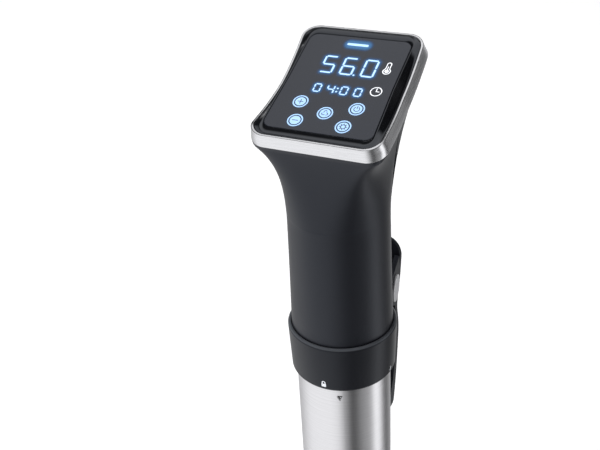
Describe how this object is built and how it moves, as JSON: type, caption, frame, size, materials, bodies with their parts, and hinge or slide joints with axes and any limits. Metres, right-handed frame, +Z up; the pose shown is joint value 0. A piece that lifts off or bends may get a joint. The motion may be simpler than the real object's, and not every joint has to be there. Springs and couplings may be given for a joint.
{
  "type": "sous vide circulator",
  "caption": "Immersion circulator with a brushed steel tube, black grip, tilted touch display, pump and heater inside, and a sprung clamp at the back.",
  "frame": {"origin": "on the tube axis, at the flat underside of the base cap", "axes": "+Z up along the tube, the display faces -Y, the clamp is at +Y"},
  "size_m": [0.079, 0.0942, 0.3936],
  "materials": {
    "grip_black": "satin black, fine texture",
    "steel": "brushed around",
    "band_metal": "brushed along",
    "gloss_black": "high gloss black",
    "display_glass": "dark tinted, glossy",
    "cap_black": "satin black",
    "inlay_silver": "satin silver",
    "rubber": "matt",
    "board_green": "solder mask",
    "light_blue": "lit",
    "component": "moulded",
    "white_plastic": "moulded",
    "bright_steel": "polished",
    "heater_steel": "nickel plated",
    "brass": "turned",
    "aluminium": "extruded",
    "motor_steel": "zinc plated"
  },
  "bodies": {
    "root": {"board_screws": "bright_steel", "bracket_screws": "bright_steel", "bulkhead": "cap_black", "bulkhead_seal": "rubber", "buzzer": "component", "capacitors": "component", "chassis_rails": "aluminium", "clamp_bracket": "grip_black", "clamp_spring": "bright_steel", "collar": "grip_black", "cord_gland": "rubber", "cover_screws": "bright_steel", "display_band": "band_metal", "display_board": "board_green", "display_glass": "display_glass", "display_surround": "gloss_black", "frame_screws": "bright_steel", "front_shell": "grip_black", "heat_sink": "aluminium", "heater_coil": "heater_steel", "heater_glands": "brass", "level_electrodes": "bright_steel", "lower_bearing_plate": "heater_steel", "lower_bush": "brass", "motor_bearings": "brass", "motor_can": "motor_steel", "motor_end_plate": "motor_steel", "motor_magnets": "component", "motor_mount": "motor_steel", "motor_screws": "bright_steel", "pivot_pin": "bright_steel", "power_board": "board_green", "rear_cover": "grip_black", "relay": "component", "shaft_seal": "rubber", "status_light": "light_blue", "support_rods": "bright_steel", "temperature_digits": "light_blue", "temperature_probe": "bright_steel", "terminal_block": "white_plastic", "timer_digits": "light_blue", "touch_springs": "bright_steel", "transformer": "component"},
    "bayonet": {"bayonet_ring": "cap_black"},
    "tube": {"tube": "steel", "base_cap": "cap_black"},
    "rotor": {"drive_shaft": "bright_steel", "motor_rotor": "motor_steel", "cooling_fan": "white_plastic", "impeller": "cap_black", "impeller_nut": "bright_steel"},
    "lever": {"clamp_lever": "grip_black", "jaw_pad": "rubber", "lever_inlays": "inlay_silver"}
  },
  "joints": [
    {"name": "tube_twist", "type": "hinge", "parent": "root", "child": "bayonet", "pos_m": [0, 0, 0.2], "axis": [0, 0, 1], "range_deg": [-16.7, 67.1]},
    {"name": "tube_pull", "type": "slide", "parent": "bayonet", "child": "tube", "axis": [0, 0, -1], "range_m": [0, 0.19]},
    {"name": "pump_spin", "type": "hinge", "parent": "root", "child": "rotor", "pos_m": [0, 0, 0.1], "axis": [0, 0, 1], "continuous": true},
    {"name": "clamp_squeeze", "type": "hinge", "parent": "root", "child": "lever", "pos_m": [0, 0.0455, 0.216], "axis": [1, 0, 0], "range_deg": [0, 20], "stiffness_Nm_per_rad": 1.5, "springref_deg": -17.19}
  ]
}
